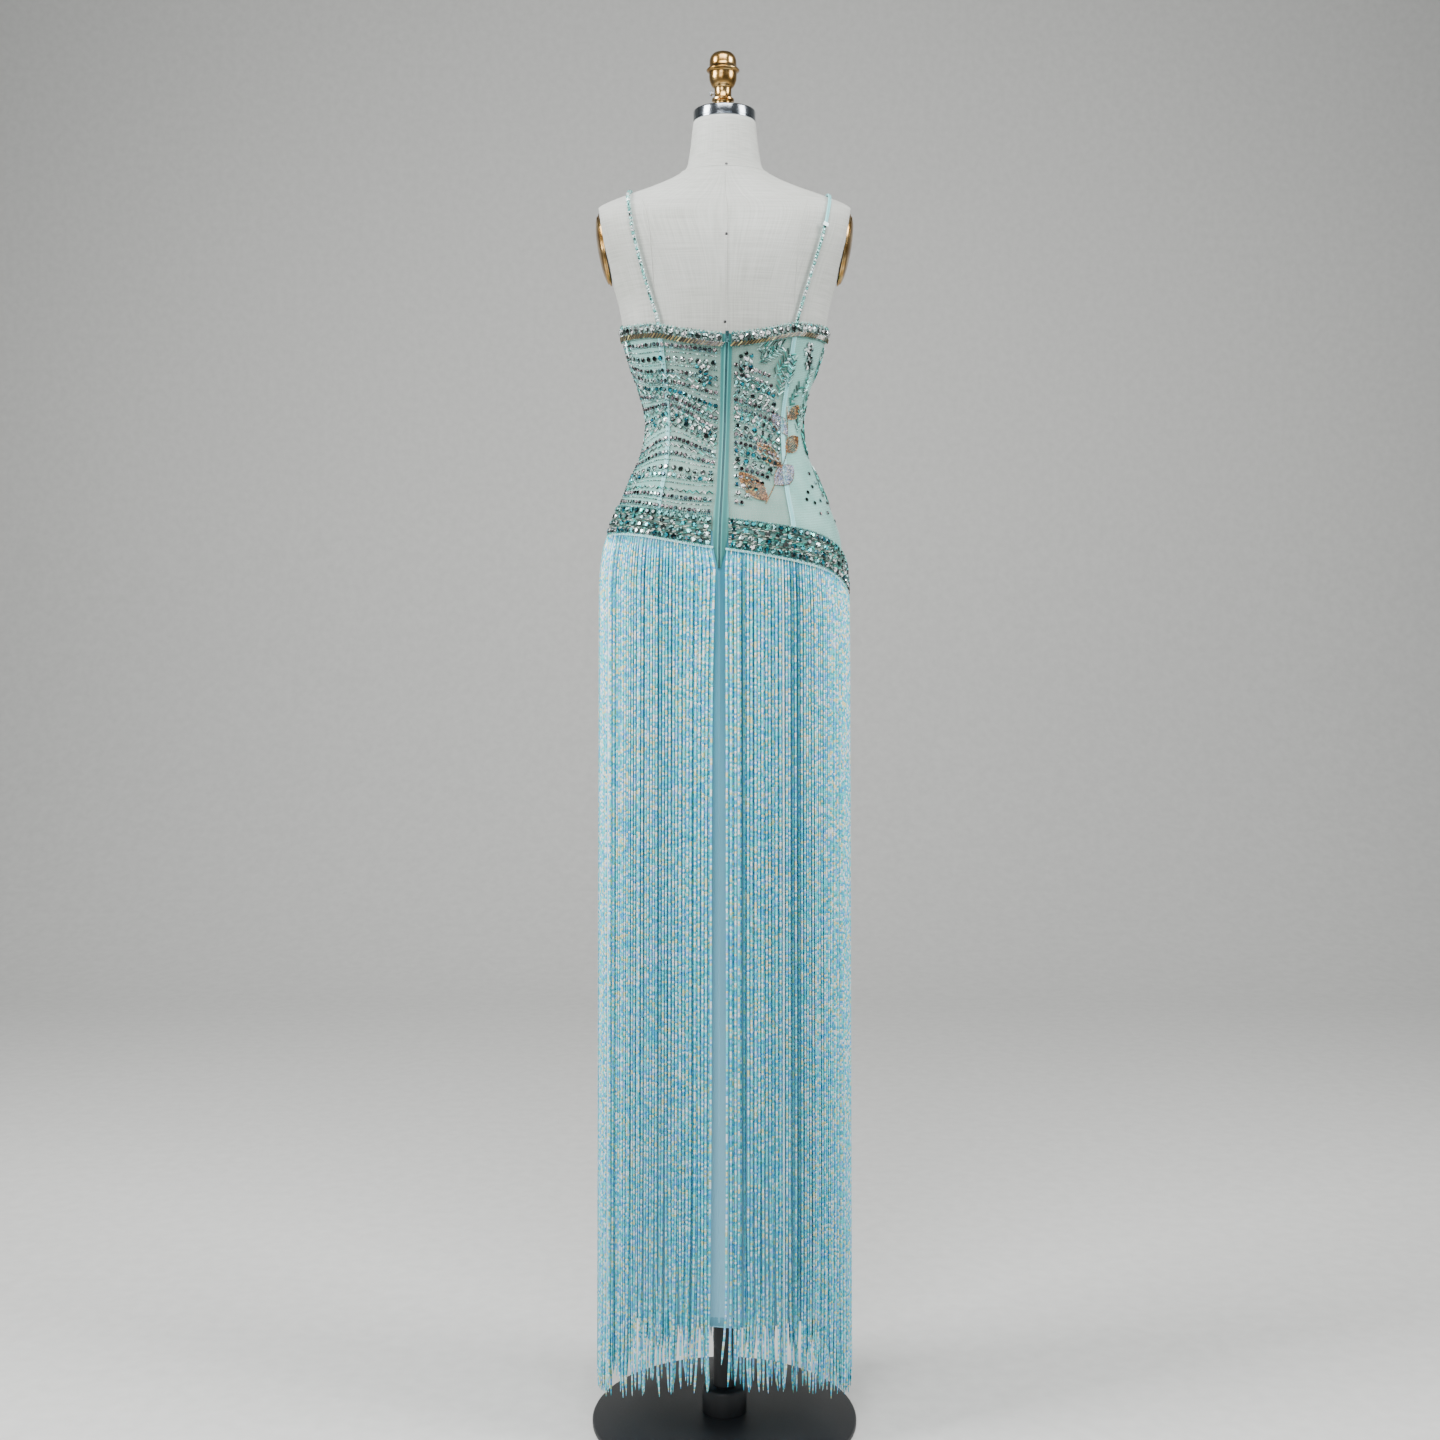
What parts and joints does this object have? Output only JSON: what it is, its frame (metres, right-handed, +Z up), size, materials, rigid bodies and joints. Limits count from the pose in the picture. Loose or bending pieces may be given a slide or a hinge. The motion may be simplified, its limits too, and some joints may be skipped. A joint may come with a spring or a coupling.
{
  "type": "evening dress on limbless dress form",
  "caption": "Floor-length evening dress with a sheer boned bodice, thin straps, a slanting beaded hip band and a long bead fringe over a satin skirt, on a limbless dress form with a stand.",
  "frame": {"origin": "on the floor under the middle of the stand's base", "axes": "+Z up, +Y the way the wearer faces, +X the wearer's right; the back of the dress, with its zip, faces -Y"},
  "size_m": [0.356, 0.356, 1.848],
  "materials": {
    "linen": "plain-woven linen cover, grey-white",
    "brass": "satin, slightly worn",
    "chrome": "turned and polished",
    "dark_steel": "black powder coat",
    "net": "sheer aqua net",
    "satin_tape": "matt satin tape",
    "crystal_trim": "foiled crystals and gold-lined bugles on aqua braid",
    "zip_tape": "woven tape",
    "enamel": "gloss enamel",
    "bead_band": "teal rhinestones and bugles on net",
    "satin": "light blue satin",
    "fringe_beads": "glossy seed beads, aqua, blue, white and cream"
  },
  "bodies": {
    "dress_and_form": {"form_torso": "linen", "form_arm_plate_left": "brass", "form_arm_plate_right": "brass", "form_neck_cap": "chrome", "form_finial": "brass", "form_finial_screw": "chrome", "form_pole": "dark_steel", "form_base": "dark_steel", "bodice_back_left": "net", "bodice_back_right": "net", "bodice_side_back_right": "net", "bodice_side_front_right": "net", "bodice_front": "net", "bodice_side_front_left": "net", "bodice_side_back_left": "net", "casing_back_left": "satin_tape", "casing_back_right": "satin_tape", "casing_front_right": "satin_tape", "casing_front_left": "satin_tape", "top_trim_left": "crystal_trim", "top_trim_right": "crystal_trim", "strap_left": "crystal_trim", "strap_right": "crystal_trim", "strap_keeper_right": "chrome", "zip_tape_left": "zip_tape", "zip_tape_right": "zip_tape", "zip_slider": "enamel", "hip_band_left": "bead_band", "hip_band_right": "bead_band", "skirt_back_left": "satin", "skirt_back_right": "satin", "skirt_front": "satin", "fringe_back_left": "fringe_beads", "fringe_back_right": "fringe_beads", "fringe_front_right": "fringe_beads", "fringe_front_left": "fringe_beads"},
    "pull_tab": {"zip_pull": "enamel"}
  },
  "joints": [
    {"name": "pull_tab_hinge", "type": "hinge", "parent": "dress_and_form", "child": "pull_tab", "pos_m": [0.0033, -0.09691, 1.452], "axis": [-1, 0, 0], "range_deg": [0, 165]}
  ]
}
